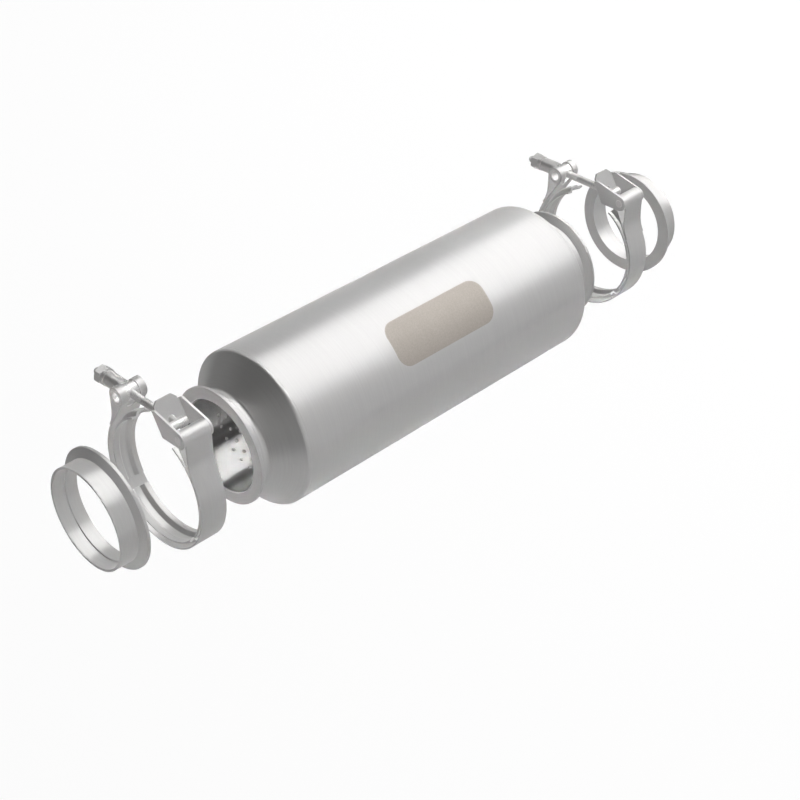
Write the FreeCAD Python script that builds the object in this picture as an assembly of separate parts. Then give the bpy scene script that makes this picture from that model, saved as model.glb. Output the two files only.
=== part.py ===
import FreeCAD, Part
import math
import os

# A round-body exhaust muffler with V-band flanges, drawn with its two quick-release
# clamps and its two weld flanges pulled apart along the gas axis, as it is shown.
# Frame: millimetres, +X along the gas flow, +Z up. The origin is the centre of the
# mouth of the inlet weld flange, where the exhaust pipe goes in.

# Exhaust pipe that the muffler is made for
PIPE_R = 38.1
PIPE_SLIP = 0.2

# Muffler body
BODY_R = 63.5
BODY_LENGTH = 309.3
END_LENGTH = 31.95
SHELL_WALL = 1.5
SHOULDER_R = 3.2
SEAM_INSET = 3.0
CAP_WALL = 1.5
CAP_SKIRT = 11.0
CONE_START = 12.1
NECK_CORNER_R = 3.0
SHEET_GAP = 0.1

# Perforated core and packing
CORE_WALL = 1.5
CORE_RECESS = 1.4
CORE_GAP = 0.1
PACKING_GAP = 0.3
PACKING_END_GAP = 0.5
PACKING_ROUND = 4.0

# V-band flanges
COLLAR_WALL = 2.2
COLLAR_LENGTH = 8.6
RIM_RISE = 7.2
RIM_THICK = 2.6
RIM_SLOPE_LENGTH = 2.4
EDGE_BREAK = 0.4

# Weld flanges, which carry the pipes
WELD_FLANGE_LENGTH = 19.8
SOCKET_DEPTH = 10.0
SOCKET_STEP = 1.5

# Where the loose pieces stand
INLET_PARTING = 99.5
OUTLET_PARTING = 101.6
INLET_STANDOFF = 49.0
OUTLET_STANDOFF = 51.5

# Clamp strap
STRAP_WIDTH = 22.2
STRAP_THICK = 1.1
STRAP_RISE = 6.0
LEG_BEND_R = 30.0
TAIL_DEG = 1.2

# V-shaped retainers inside the strap
V_THICK = 1.5
V_CROWN_HALF = 2.6
V_FOOT_HALF = 5.1
V_LIP_HALF = 9.5
V_FOOT_RISE = 7.3
V_LIP_LIFT = 0.6
V_BEND_R = 0.9
V_START_DEG = 120.0
V_SWEEP_DEG = 95.2
V_GAP_DEG = 9.9
SEAT_GAP = 0.05

# Trunnion, over which the strap's bolt end is looped
TRUNNION_INSET = 18.5
BOLT_RISE = 2.8
TRUNNION_R = 6.3
TRUNNION_BORE_R = 4.0
BOLT_HOLE_R = 3.5
LOOP_SLOT_WIDTH = 10.6
SLOT_DROP_INNER = 11.5
SLOT_DROP_OUTER = 5.4

# Bolt with a cross bar, spacer sleeve and nut
THREAD_R = 3.2
SHANK_R = 3.1
THREAD_SETBACK = 17.5
THREAD_SHOWING = 16.5
CROSS_BAR_REACH = 16.6
CROSS_BAR_R = 3.5
CROSS_BAR_LENGTH = 14.8
BOLT_RUN_GAP = 0.06
SLEEVE_R = 6.0
SLEEVE_LENGTH = 22.0
NUT_FLATS = 12.7
NUT_HEIGHT = 10.0
NUT_BASE = 3.4
NUT_TURN_DEG = 18.0
NUT_CHAMFER = 1.0

# Hinge pin, over which the strap's other end is looped, and saddle
PIN_INSET = 16.4
PIN_RISE = 3.5
PIN_R = 5.25
PIN_END_R = 3.2
PIN_END_GAP = 0.1
PIN_STAND = 0.5
SADDLE_TILT_DEG = 29.3
SADDLE_THICK = 1.6
SADDLE_SIDE_GAP = 0.1
SADDLE_BEND_R = 2.4
SADDLE_EYE_R = 6.5
WEB_REACH = 20.6
WEB_BOTTOM = 4.0
CHEEK_TOP = 22.8
CHEEK_TOP_LENGTH = 5.0
WEB_TOP = 28.0
WEB_TOP_HALF = 6.3
WEB_SHOULDER_HALF = 9.8
WEB_SHOULDER = 24.4
SADDLE_SLOT_HALF = 3.6
SADDLE_SLOT_CLEAR = 0.2
BAR_WAY_TOP = 7.2
BAR_WAY_CLEAR = 1.0

X_AXIS = FreeCAD.Vector(1, 0, 0)
ORIGIN = FreeCAD.Vector(0, 0, 0)

# Sizes that follow from the ones above
COLLAR_R = PIPE_R + COLLAR_WALL
RIM_R = COLLAR_R + RIM_RISE
WELD_BORE_R = PIPE_R - SOCKET_STEP
STRAP_R = RIM_R + STRAP_RISE
V_FOOT_R = COLLAR_R + V_FOOT_RISE
V_LIP_R = V_FOOT_R + V_LIP_LIFT
BOLT_Z = STRAP_R + BOLT_RISE
PIN_Y = PIN_INSET - STRAP_R
PIN_Z = STRAP_R + PIN_RISE
TRUNNION_Y = STRAP_R - TRUNNION_INSET
NUT_Y = TRUNNION_Y + SLEEVE_LENGTH
THREAD_START_Y = TRUNNION_Y - THREAD_SETBACK
BOLT_END_Y = NUT_Y + THREAD_SHOWING
CROSS_BAR_Y = PIN_Y + CROSS_BAR_REACH
MUFFLER_LENGTH = BODY_LENGTH + 2 * END_LENGTH
MUFFLER_START = WELD_FLANGE_LENGTH + INLET_PARTING
MUFFLER_END = MUFFLER_START + MUFFLER_LENGTH
SADDLE_WIDTH = STRAP_WIDTH + 2 * (SADDLE_THICK + SADDLE_SIDE_GAP)


# Plane helpers

def unit(a, b):
    """Direction from point a to point b in a plane, and the distance."""
    dx = b[0] - a[0]
    dy = b[1] - a[1]
    length = math.hypot(dx, dy)
    return dx / length, dy / length, length


def polar(cy, cz, radius, degrees):
    """Point of the YZ plane at an angle measured from +Y towards +Z."""
    a = math.radians(degrees)
    return cy + radius * math.cos(a), cz + radius * math.sin(a)


def rounded_wire(points, radii, place):
    """Closed wire through points, with the corner radii given, placed by place(u, v)."""
    count = len(points)
    starts = []
    ends = []
    mids = []
    for i in range(count):
        before = points[i - 1]
        here = points[i]
        after = points[(i + 1) % count]
        ax, ay, al = unit(here, before)
        bx, by, bl = unit(here, after)
        half = math.acos(max(-1.0, min(1.0, ax * bx + ay * by))) / 2
        radius = radii[i]
        if radius <= 0 or half > 1.5690:
            starts.append(here)
            ends.append(here)
            mids.append(None)
            continue
        back = min(radius / math.tan(half), 0.49 * al, 0.49 * bl)
        radius = back * math.tan(half)
        mx, my, ml = unit((0, 0), (ax + bx, ay + by))
        reach = radius / math.sin(half) - radius
        starts.append((here[0] + ax * back, here[1] + ay * back))
        ends.append((here[0] + bx * back, here[1] + by * back))
        mids.append((here[0] + mx * reach, here[1] + my * reach))
    edges = []
    for i in range(count):
        if mids[i] is not None:
            arc = Part.Arc(place(*starts[i]), place(*mids[i]), place(*ends[i]))
            edges.append(arc.toShape())
        following = starts[(i + 1) % count]
        edges.append(Part.makeLine(place(*ends[i]), place(*following)))
    return Part.Wire(edges)


def in_turning_plane(u, v):
    """Profile plane of everything that is turned about the gas axis."""
    return FreeCAD.Vector(u, v, 0)


def turned(points, radii, start_deg=0.0, sweep_deg=360.0):
    """Solid of revolution about the gas axis, from (x, radius) points."""
    face = Part.Face(rounded_wire(points, radii, in_turning_plane))
    if start_deg:
        face.rotate(ORIGIN, X_AXIS, start_deg)
    return face.revolve(ORIGIN, X_AXIS, sweep_deg)


def sheet(chain, radii, thick):
    """Outline of a bent sheet: the chain, and the same chain moved by thick to its left."""
    moved = []
    grown = []
    for i, here in enumerate(chain):
        if i == 0:
            ux, uy, length = unit(chain[0], chain[1])
            moved.append((here[0] - uy * thick, here[1] + ux * thick))
            grown.append(0.0)
            continue
        if i == len(chain) - 1:
            ux, uy, length = unit(chain[-2], chain[-1])
            moved.append((here[0] - uy * thick, here[1] + ux * thick))
            grown.append(0.0)
            continue
        ax, ay, al = unit(chain[i - 1], here)
        bx, by, bl = unit(here, chain[i + 1])
        turn = ax * by - ay * bx
        half = (1 + ax * bx + ay * by)
        nx = (-ay - by) / half
        ny = (ax + bx) / half
        moved.append((here[0] + nx * thick, here[1] + ny * thick))
        grown.append(radii[i] + (thick if turn < 0 else -thick))
    outline = list(chain) + moved[::-1]
    corners = list(radii) + [max(0.0, g) for g in grown[::-1]]
    return outline, corners


# Muffler body

def make_shell():
    """Outer tube, as long as the space between the steps of the two end caps."""
    inset = END_LENGTH + SEAM_INSET + SHEET_GAP
    left = MUFFLER_START + inset
    right = MUFFLER_END - inset
    inner = BODY_R - SHELL_WALL
    return turned([(left, inner), (right, inner), (right, BODY_R), (left, BODY_R)], [0, 0, 0, 0])


def cap_chain():
    """Outer line of the inlet end cap: neck, cone, shoulder, step and skirt."""
    seam = END_LENGTH + SEAM_INSET
    skirt_r = BODY_R - SHELL_WALL - SHEET_GAP
    return [
        (COLLAR_LENGTH + SHEET_GAP, COLLAR_R),
        (CONE_START, COLLAR_R),
        (END_LENGTH, BODY_R),
        (seam, BODY_R),
        (seam, skirt_r),
        (seam + CAP_SKIRT, skirt_r),
    ]


def make_cap(outlet):
    """Spun end cap, flush with the shell, with a skirt that fits inside it."""
    chain = cap_chain()
    radii = [0.0, NECK_CORNER_R, SHOULDER_R, 0.0, 0.0, 0.0]
    if outlet:
        placed = [(MUFFLER_END - x, r) for x, r in chain][::-1]
        radii = radii[::-1]
    else:
        placed = [(MUFFLER_START + x, r) for x, r in chain]
    # The sheet lies on the inner side of the line
    outline, corners = sheet(placed[::-1], radii[::-1], CAP_WALL)
    return turned(outline, corners)


def make_core():
    """Straight-through core tube that ends just inside both flange faces."""
    inner = PIPE_R - CORE_WALL
    start = MUFFLER_START + CORE_RECESS
    end = MUFFLER_END - CORE_RECESS
    points = [(start, inner), (end, inner), (end, PIPE_R), (start, PIPE_R)]
    return turned(points, [0, 0, 0, 0])


def make_packing():
    """Sound-deadening packing between the core and the shell."""
    chain = cap_chain()
    inset = chain[2][0] + CAP_WALL + PACKING_END_GAP
    step = chain[-1][0] + PACKING_GAP
    inner = PIPE_R + PACKING_GAP
    outer = BODY_R - SHELL_WALL - PACKING_GAP
    in_skirt = outer - SHEET_GAP - CAP_WALL
    half = [(inset, inner), (inset, in_skirt), (step, in_skirt), (step, outer)]
    left = [(MUFFLER_START + x, r) for x, r in half]
    right = [(MUFFLER_END - x, r) for x, r in half]
    return turned(left + right[::-1], [0, PACKING_ROUND, 0, 0, 0, 0, PACKING_ROUND, 0])


def flange_points(bore_r, collar_length):
    """Half section of a V-band flange: face at x = 0, collar towards +x."""
    slope_end = RIM_THICK + RIM_SLOPE_LENGTH
    return [
        (0, bore_r),
        (0, RIM_R),
        (RIM_THICK, RIM_R),
        (slope_end, COLLAR_R),
        (collar_length, COLLAR_R),
        (collar_length, bore_r),
    ]


def make_body_flange(outlet):
    """V-band flange welded to the muffler's neck, around the end of the core."""
    points = flange_points(PIPE_R + CORE_GAP, COLLAR_LENGTH)
    radii = [0, EDGE_BREAK, EDGE_BREAK, EDGE_BREAK, 0, 0]
    if outlet:
        placed = [(MUFFLER_END - x, r) for x, r in points]
    else:
        placed = [(MUFFLER_START + x, r) for x, r in points]
    return turned(placed, radii)


def make_weld_flange(outlet):
    """Loose V-band flange with a socket for the exhaust pipe."""
    rim = flange_points(WELD_BORE_R, WELD_FLANGE_LENGTH)
    socket_r = PIPE_R + PIPE_SLIP
    seat = WELD_FLANGE_LENGTH - SOCKET_DEPTH
    points = rim[:-1] + [
        (WELD_FLANGE_LENGTH, socket_r),
        (seat, socket_r),
        (seat, WELD_BORE_R),
    ]
    radii = [0, EDGE_BREAK, EDGE_BREAK, EDGE_BREAK, EDGE_BREAK, EDGE_BREAK, 0, EDGE_BREAK]
    if outlet:
        start = MUFFLER_END + OUTLET_PARTING
        placed = [(start + x, r) for x, r in points]
    else:
        placed = [(WELD_FLANGE_LENGTH - x, r) for x, r in points]
    return turned(placed, radii)


# Clamp pieces, drawn around x = 0 and moved to their place at the end

def clamp_point(side, y, z):
    """Point of the clamp's middle plane; side is 1 at the bolt end, -1 at the hinge end."""
    return FreeCAD.Vector(0, side * y, z)


def band_arc(side, centre, radius, start_deg, end_deg):
    """Piece of strap that follows a circle, as a flat face in the YZ plane."""
    cy, cz = centre
    half = STRAP_THICK / 2
    middle = (start_deg + end_deg) / 2
    outer = [polar(cy, cz, radius + half, a) for a in (start_deg, middle, end_deg)]
    inner = [polar(cy, cz, radius - half, a) for a in (end_deg, middle, start_deg)]
    outer = [clamp_point(side, y, z) for y, z in outer]
    inner = [clamp_point(side, y, z) for y, z in inner]
    edges = [
        Part.Arc(*outer).toShape(),
        Part.makeLine(outer[2], inner[0]),
        Part.Arc(*inner).toShape(),
        Part.makeLine(inner[2], outer[0]),
    ]
    return Part.Face(Part.Wire(edges))


def band_line(side, start, end):
    """Straight piece of strap between two points of its middle line."""
    ux, uy, length = unit(start, end)
    half = STRAP_THICK / 2
    corners = [
        (start[0] - uy * half, start[1] + ux * half),
        (end[0] - uy * half, end[1] + ux * half),
        (end[0] + uy * half, end[1] - ux * half),
        (start[0] + uy * half, start[1] - ux * half),
    ]
    points = [clamp_point(side, y, z) for y, z in corners]
    return Part.Face(Part.makePolygon(points + [points[0]]))


def strap_turn(eye_y, eye_z, eye_r):
    """Angle at which the ring leaves its circle for the straight leg to an eye."""
    ring = STRAP_R - STRAP_THICK / 2
    distance = math.hypot(eye_y, eye_z)
    lean = math.degrees(math.acos((ring + eye_r) / distance))
    return math.degrees(math.atan2(eye_z, eye_y)) - lean


def strap_end(side, eye_y, eye_z, eye_r):
    """One end of the strap: up to the eye, round it, and back down onto the ring."""
    ring = STRAP_R - STRAP_THICK / 2
    tail = STRAP_R + STRAP_THICK / 2
    turn = strap_turn(eye_y, eye_z, eye_r)
    leave = polar(0, 0, ring, turn)
    arrive = polar(eye_y, eye_z, eye_r, turn + 180)
    outside = eye_y + eye_r
    bend_y = outside + LEG_BEND_R
    bend_z = math.sqrt((tail + LEG_BEND_R) ** 2 - bend_y ** 2)
    land = math.degrees(math.atan2(bend_z, bend_y))
    return [
        band_line(side, leave, arrive),
        band_arc(side, (eye_y, eye_z), eye_r, turn + 180, 0),
        band_line(side, (outside, eye_z), (outside, bend_z)),
        band_arc(side, (bend_y, bend_z), LEG_BEND_R, 180, 180 + land),
        band_arc(side, (0, 0), tail, land, land - TAIL_DEG),
    ]


def trunnion_eye_r():
    return TRUNNION_R + SEAT_GAP + STRAP_THICK / 2


def pin_eye_r():
    return PIN_R + SEAT_GAP + STRAP_THICK / 2


def slab(faces, width):
    """Flat faces of the YZ plane made into one solid, centred on the clamp's middle."""
    solids = []
    for face in faces:
        face.translate(FreeCAD.Vector(-width / 2, 0, 0))
        solids.append(face.extrude(FreeCAD.Vector(width, 0, 0)))
    whole = solids[0].fuse(solids[1:])
    return whole.removeSplitter()


def make_strap():
    """Flat strap: ring, and an eye at each end for the trunnion and the hinge pin."""
    ring = STRAP_R - STRAP_THICK / 2
    bolt_turn = strap_turn(TRUNNION_Y, BOLT_Z, trunnion_eye_r())
    pin_turn = strap_turn(-PIN_Y, PIN_Z, pin_eye_r())
    faces = [band_arc(1, (0, 0), ring, bolt_turn, pin_turn - 360 + 180 - 2 * pin_turn)]
    faces += strap_end(1, TRUNNION_Y, BOLT_Z, trunnion_eye_r())
    faces += strap_end(-1, -PIN_Y, PIN_Z, pin_eye_r())
    strap = slab(faces, STRAP_WIDTH)
    return strap.cut(loop_slot()).removeSplitter()


def loop_slot():
    """Slot through the bolt eye, longer on the inner leg, where the bolt passes."""
    half = LOOP_SLOT_WIDTH / 2
    height = 4 * TRUNNION_R
    outer_z = BOLT_Z - SLOT_DROP_OUTER
    inner_z = BOLT_Z - SLOT_DROP_INNER
    over = 2 * TRUNNION_R + 2 * STRAP_THICK
    outer = slot_tool(half, outer_z, height, TRUNNION_Y, over)
    inner = slot_tool(half, inner_z, height, TRUNNION_Y - over, over)
    return outer.fuse(inner)


def slot_tool(half, bottom, height, start_y, length):
    """Upright slot with a round lower end, cut along +Y."""
    box = Part.makeBox(2 * half, length, height, FreeCAD.Vector(-half, start_y, bottom + half))
    centre = FreeCAD.Vector(0, start_y, bottom + half)
    end = Part.makeCylinder(half, length, centre, FreeCAD.Vector(0, 1, 0))
    return box.fuse(end)


def make_retainer(start_deg):
    """V-shaped retainer: crown on the strap, two flanks, two feet turned outwards."""
    crown = STRAP_R - STRAP_THICK - SEAT_GAP - V_THICK
    chain = [
        (V_LIP_HALF, V_LIP_R),
        (V_FOOT_HALF, V_FOOT_R),
        (V_CROWN_HALF, crown),
        (-V_CROWN_HALF, crown),
        (-V_FOOT_HALF, V_FOOT_R),
        (-V_LIP_HALF, V_LIP_R),
    ]
    radii = [0, V_BEND_R, V_BEND_R, V_BEND_R, V_BEND_R, 0]
    outline, corners = sheet(chain[::-1], radii[::-1], V_THICK)
    return turned(outline, corners, start_deg, V_SWEEP_DEG)


def retainer_starts():
    """Start angle of the three equal retainers, from +Y towards +Z."""
    step = V_SWEEP_DEG + V_GAP_DEG
    names = ("hinge_side", "lower", "bolt_side")
    return {name: V_START_DEG + step * i for i, name in enumerate(names)}


def make_trunnion():
    """Hollow trunnion with a cross hole for the bolt."""
    start = FreeCAD.Vector(-STRAP_WIDTH / 2, TRUNNION_Y, BOLT_Z)
    barrel = Part.makeCylinder(TRUNNION_R, STRAP_WIDTH, start, X_AXIS)
    bore = Part.makeCylinder(TRUNNION_BORE_R, STRAP_WIDTH, start, X_AXIS)
    across = FreeCAD.Vector(0, TRUNNION_Y - 2 * TRUNNION_R, BOLT_Z)
    hole = Part.makeCylinder(BOLT_HOLE_R, 4 * TRUNNION_R, across, FreeCAD.Vector(0, 1, 0))
    return barrel.cut(bore).cut(hole)


def along_bolt(points, radii):
    """Solid turned about the bolt's axis, from (y, radius) points."""
    def place(y, radius):
        return FreeCAD.Vector(radius, y, BOLT_Z)
    face = Part.Face(rounded_wire(points, radii, place))
    centre = FreeCAD.Vector(0, 0, BOLT_Z)
    return face.revolve(centre, FreeCAD.Vector(0, 1, 0), 360)


def make_bolt():
    """Bolt with a domed threaded end and a cross bar for a head."""
    shank = along_bolt(
        [
            (CROSS_BAR_Y, 0),
            (CROSS_BAR_Y, SHANK_R),
            (THREAD_START_Y, SHANK_R),
            (THREAD_START_Y, THREAD_R),
            (BOLT_END_Y, THREAD_R),
            (BOLT_END_Y, 0),
        ],
        [0, 0, 0, 0, THREAD_R * 0.6, 0],
    )
    start = FreeCAD.Vector(-CROSS_BAR_LENGTH / 2, CROSS_BAR_Y, BOLT_Z)
    bar = Part.makeCylinder(CROSS_BAR_R, CROSS_BAR_LENGTH, start, X_AXIS)
    ends = [e for e in bar.Edges if isinstance(e.Curve, Part.Circle)]
    bar = bar.makeChamfer(EDGE_BREAK, ends)
    return shank.fuse(bar).removeSplitter()


def make_sleeve():
    """Spacer sleeve, hollowed at one end to sit on the strap's bolt eye."""
    bore = THREAD_R + BOLT_RUN_GAP
    sleeve = along_bolt(
        [(TRUNNION_Y, bore), (TRUNNION_Y, SLEEVE_R), (NUT_Y, SLEEVE_R), (NUT_Y, bore)],
        [0, 0, EDGE_BREAK, 0],
    )
    eye = trunnion_eye_r() + STRAP_THICK / 2 + SEAT_GAP
    start = FreeCAD.Vector(-STRAP_WIDTH, TRUNNION_Y, BOLT_Z)
    sleeve = sleeve.cut(Part.makeCylinder(eye, 2 * STRAP_WIDTH, start, X_AXIS))
    # Below the trunnion's middle the strap runs straight down, so the end is flat there
    below = FreeCAD.Vector(-STRAP_WIDTH, TRUNNION_Y, BOLT_Z - eye)
    return sleeve.cut(Part.makeBox(2 * STRAP_WIDTH, eye, eye, below))


def make_nut():
    """Hexagon nut with a round base towards the sleeve and a chamfered far end."""
    corner_r = NUT_FLATS / 2 / math.cos(math.radians(30))
    start = NUT_Y + SEAT_GAP
    corners = []
    for i in range(7):
        x, z = polar(0, BOLT_Z, corner_r, NUT_TURN_DEG + 60 * i)
        corners.append(FreeCAD.Vector(x, start, z))
    hexagon = Part.Face(Part.makePolygon(corners))
    nut = hexagon.extrude(FreeCAD.Vector(0, NUT_HEIGHT, 0))
    # A turned blank of the same shape takes the corners off both ends
    bore = THREAD_R + BOLT_RUN_GAP
    end = start + NUT_HEIGHT
    drop = NUT_CHAMFER * math.tan(math.radians(30))
    base_r = NUT_FLATS / 2
    blank = along_bolt(
        [
            (start, bore),
            (start, base_r),
            (start + NUT_BASE, base_r),
            (start + NUT_BASE + drop, corner_r),
            (end - drop, corner_r),
            (end, corner_r - NUT_CHAMFER),
            (end, bore),
        ],
        [0, EDGE_BREAK, 0, 0, 0, 0, 0],
    )
    return nut.common(blank)


def make_pin():
    """Hinge pin: a barrel in the strap's eye and thinner riveted ends in the cheeks."""
    inside = SADDLE_WIDTH / 2 - SADDLE_THICK
    shoulder = inside - PIN_END_GAP
    tip = SADDLE_WIDTH / 2 + PIN_STAND
    half = [(shoulder, PIN_R), (shoulder, PIN_END_R), (tip, PIN_END_R), (tip, 0)]
    points = [(-x, r) for x, r in half[::-1]] + half
    radii = [0, PIN_STAND, 0, EDGE_BREAK, EDGE_BREAK, 0, PIN_STAND, 0]
    pin = turned(points, radii)
    pin.translate(FreeCAD.Vector(0, PIN_Y, PIN_Z))
    return pin


def cheek_outline():
    """Side view of the saddle about its pin: eye, two slanted edges, upright web."""
    top_near = (WEB_REACH - CHEEK_TOP_LENGTH, CHEEK_TOP)
    low_near = (WEB_REACH, WEB_BOTTOM)
    upper = tangent_point(top_near, 1)
    lower = tangent_point(low_near, -1)
    back = (-SADDLE_EYE_R, 0)
    return upper, top_near, (WEB_REACH, CHEEK_TOP), low_near, lower, back


def tangent_point(point, side):
    """Point where a line from a given point touches the circle of the saddle's eye."""
    distance = math.hypot(point[0], point[1])
    base = math.atan2(point[1], point[0])
    spread = math.acos(SADDLE_EYE_R / distance)
    angle = base + side * spread
    return SADDLE_EYE_R * math.cos(angle), SADDLE_EYE_R * math.sin(angle)


def saddle_point(x, u, v):
    """Point of the saddle before its tilt: u away from the pin, v upwards."""
    return FreeCAD.Vector(x, PIN_Y + u, PIN_Z + v)


def cheek_prism():
    """The saddle's side outline carried across its whole width."""
    upper, top_far, top_near, low_near, lower, back = cheek_outline()
    x = -SADDLE_WIDTH / 2
    p = [saddle_point(x, *q) for q in (upper, top_far, top_near, low_near, lower)]
    edges = [Part.makeLine(p[i], p[i + 1]) for i in range(4)]
    arc = Part.Arc(p[4], saddle_point(x, *back), p[0])
    edges.append(arc.toShape())
    face = Part.Face(Part.Wire(edges))
    return face.extrude(FreeCAD.Vector(SADDLE_WIDTH, 0, 0))


def cheek_channel():
    """Bent channel: two cheeks and the web between them, without its outline."""
    half = SADDLE_WIDTH / 2
    far = -2 * SADDLE_EYE_R
    tall = 2 * WEB_TOP
    low = -WEB_TOP
    chain = [(-half, far), (-half, WEB_REACH), (half, WEB_REACH), (half, far)]
    radii = [0, SADDLE_BEND_R, SADDLE_BEND_R, 0]
    # Walking up one cheek, across the web and down the other keeps the inside on the right
    outline, corners = sheet(chain[::-1], radii, SADDLE_THICK)

    def place(x, u):
        return saddle_point(x, u, low)
    face = Part.Face(rounded_wire(outline, corners, place))
    return face.extrude(FreeCAD.Vector(0, 0, tall))


def web_tab():
    """Top of the web, which stands above the cheeks with its corners cut off."""
    u = WEB_REACH - SADDLE_THICK
    base = CHEEK_TOP - SADDLE_THICK
    half = [
        (WEB_SHOULDER_HALF, base),
        (WEB_SHOULDER_HALF, WEB_SHOULDER),
        (WEB_TOP_HALF, WEB_TOP),
    ]
    outline = half + [(-x, v) for x, v in half[::-1]]
    points = [saddle_point(x, u, v) for x, v in outline]
    face = Part.Face(Part.makePolygon(points + [points[0]]))
    return face.extrude(FreeCAD.Vector(0, SADDLE_THICK, 0))


def saddle_slot():
    """Slot in the web, open below, that drops over the bolt."""
    tilt = math.radians(SADDLE_TILT_DEG)
    middle = WEB_REACH - SADDLE_THICK / 2
    crossing = (BOLT_Z - PIN_Z + middle * math.sin(tilt)) / math.cos(tilt)
    rise = SHANK_R / math.cos(tilt) + SADDLE_THICK / 2 * math.tan(tilt) + SADDLE_SLOT_CLEAR
    centre_v = crossing + rise - SADDLE_SLOT_HALF
    start = saddle_point(0, WEB_REACH - 2 * SADDLE_THICK, centre_v)
    length = 3 * SADDLE_THICK
    end = Part.makeCylinder(SADDLE_SLOT_HALF, length, start, FreeCAD.Vector(0, 1, 0))
    corner = saddle_point(-SADDLE_SLOT_HALF, WEB_REACH - 2 * SADDLE_THICK, 0)
    way = Part.makeBox(2 * SADDLE_SLOT_HALF, length, centre_v, corner)
    return end.fuse(way)


def bar_way():
    """Wider opening at the foot of the web, so that it clears the bolt's cross bar."""
    half = CROSS_BAR_LENGTH / 2 + BAR_WAY_CLEAR
    corner = saddle_point(-half, WEB_REACH - 2 * SADDLE_THICK, 0)
    return Part.makeBox(2 * half, 3 * SADDLE_THICK, BAR_WAY_TOP, corner)


def make_saddle():
    """Quick-release saddle: it hooks over the bolt's cross bar and swings up on its pin."""
    body = cheek_channel().common(cheek_prism()).fuse(web_tab())
    body = body.cut(saddle_slot()).cut(bar_way())
    start = saddle_point(-SADDLE_WIDTH, 0, 0)
    eye = Part.makeCylinder(PIN_END_R + SEAT_GAP, 2 * SADDLE_WIDTH, start, X_AXIS)
    body = body.cut(eye).removeSplitter()
    body.rotate(FreeCAD.Vector(0, PIN_Y, PIN_Z), X_AXIS, -SADDLE_TILT_DEG)
    return body


def clamp_pieces():
    """Every piece of one clamp, around its own middle plane."""
    pieces = {
        "strap": make_strap(),
        "trunnion": make_trunnion(),
        "t_bolt": make_bolt(),
        "spacer_sleeve": make_sleeve(),
        "nut": make_nut(),
        "saddle": make_saddle(),
        "hinge_pin": make_pin(),
    }
    for place, start in retainer_starts().items():
        pieces["v_retainer_" + place] = make_retainer(start)
    return pieces


def body_pieces():
    """The muffler itself and its two loose weld flanges."""
    return {
        "body_shell": make_shell(),
        "inlet_end_cap": make_cap(False),
        "outlet_end_cap": make_cap(True),
        "perforated_core": make_core(),
        "sound_packing": make_packing(),
        "inlet_body_flange": make_body_flange(False),
        "outlet_body_flange": make_body_flange(True),
        "inlet_weld_flange": make_weld_flange(False),
        "outlet_weld_flange": make_weld_flange(True),
    }


def write(name, shape):
    """One STEP file for one piece."""
    if shape.ShapeType == "Compound" and len(shape.Solids) == 1:
        shape = shape.Solids[0]
    shape.exportStep("parts/" + name + ".step")


def main():
    os.makedirs("parts", exist_ok=True)
    for name, shape in body_pieces().items():
        write(name, shape)
    places = {
        "inlet_": MUFFLER_START - INLET_STANDOFF,
        "outlet_": MUFFLER_END + OUTLET_STANDOFF,
    }
    for name, shape in clamp_pieces().items():
        for end, x in places.items():
            placed = shape.copy()
            placed.translate(FreeCAD.Vector(x, 0, 0))
            write(end + name, placed)


main()
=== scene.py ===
"""Finishes, fine detail and studio of the exhaust muffler kit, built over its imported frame.

The frame brings every solid in metres, with +X along the gas flow and +Z up. This
script dresses those solids, and replaces the plain core and bolts by finer pieces.
"""

import logging
import math
from dataclasses import dataclass, field, fields
from enum import Enum

import bmesh
import bpy
from mathutils import Matrix, Vector


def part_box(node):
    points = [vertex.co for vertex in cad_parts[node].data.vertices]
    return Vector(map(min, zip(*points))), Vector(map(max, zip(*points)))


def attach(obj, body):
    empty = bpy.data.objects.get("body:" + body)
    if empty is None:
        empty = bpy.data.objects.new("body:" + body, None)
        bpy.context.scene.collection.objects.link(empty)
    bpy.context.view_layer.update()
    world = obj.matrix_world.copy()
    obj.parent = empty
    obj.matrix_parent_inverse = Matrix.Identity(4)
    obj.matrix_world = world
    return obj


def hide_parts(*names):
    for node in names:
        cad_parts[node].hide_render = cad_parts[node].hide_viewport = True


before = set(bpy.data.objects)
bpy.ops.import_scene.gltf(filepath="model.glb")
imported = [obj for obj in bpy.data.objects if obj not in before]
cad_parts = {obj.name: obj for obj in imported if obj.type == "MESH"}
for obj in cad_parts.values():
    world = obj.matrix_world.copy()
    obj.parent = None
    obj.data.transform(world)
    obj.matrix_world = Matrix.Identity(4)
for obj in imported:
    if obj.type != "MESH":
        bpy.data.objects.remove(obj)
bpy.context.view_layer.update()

log = logging.getLogger("muffler")

Socket = bpy.types.NodeSocket
Materials = dict[str, bpy.types.Material]
Pair = tuple[float, float]
Triple = tuple[float, float, float]
Colour = tuple[float, float, float, float]

MM = 0.001
WHITE = (1.0, 1.0, 1.0, 1.0)
ENDS = ("inlet", "outlet")
NODE_STEP = 200

# The Mix node's sockets for colours come after its sockets for numbers and vectors.
MIX_FIRST, MIX_SECOND, MIX_RESULT = 6, 7, 2


class Lay(Enum):
    """Which way the fine lines of a steel finish run."""

    ROUND = "round the gas axis"
    ACROSS = "along Y"
    UPRIGHT = "along Z"


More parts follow.
